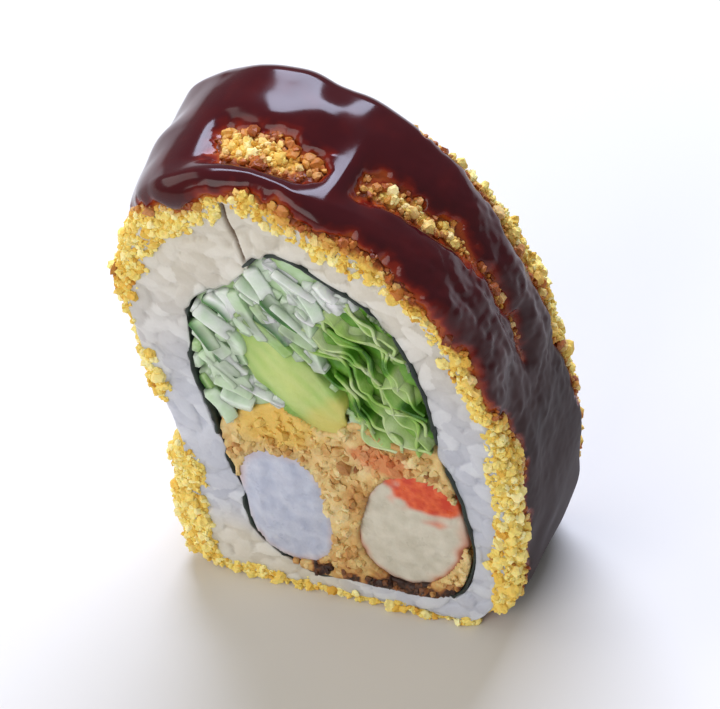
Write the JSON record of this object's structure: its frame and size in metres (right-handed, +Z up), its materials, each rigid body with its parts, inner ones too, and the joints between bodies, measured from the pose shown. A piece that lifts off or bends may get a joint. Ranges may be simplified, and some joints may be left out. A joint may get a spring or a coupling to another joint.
{
  "type": "sushi roll",
  "caption": "Upright slice of a rice-outside sushi roll, crumb coated with brown sauce, round a nori sheet filled with cucumber, avocado, lettuce and battered prawn.",
  "frame": {"origin": "middle of the flat foot that the slice stands on, on the standing surface", "axes": "+Z up, +Y from the cut face that is seen to the one behind, +X to the right of the seen cut face"},
  "size_m": [0.041, 0.018, 0.057],
  "materials": {
    "rice": "cooked rice under a golden crumb coat with brown sauce",
    "nori": "dark seaweed sheet, slightly moist",
    "prawn": "cooked prawn flesh, moist",
    "avocado": "ripe avocado, smooth",
    "lettuce": "crisp leaf, moist",
    "batter": "fried batter, crumbly",
    "cucumber": "cut cucumber, wet"
  },
  "bodies": {
    "root": {"rice": "rice", "nori": "nori", "prawn_left": "prawn", "prawn_right": "prawn", "avocado": "avocado", "lettuce": "lettuce", "batter": "batter", "cucumber": "cucumber"}
  },
  "joints": []
}
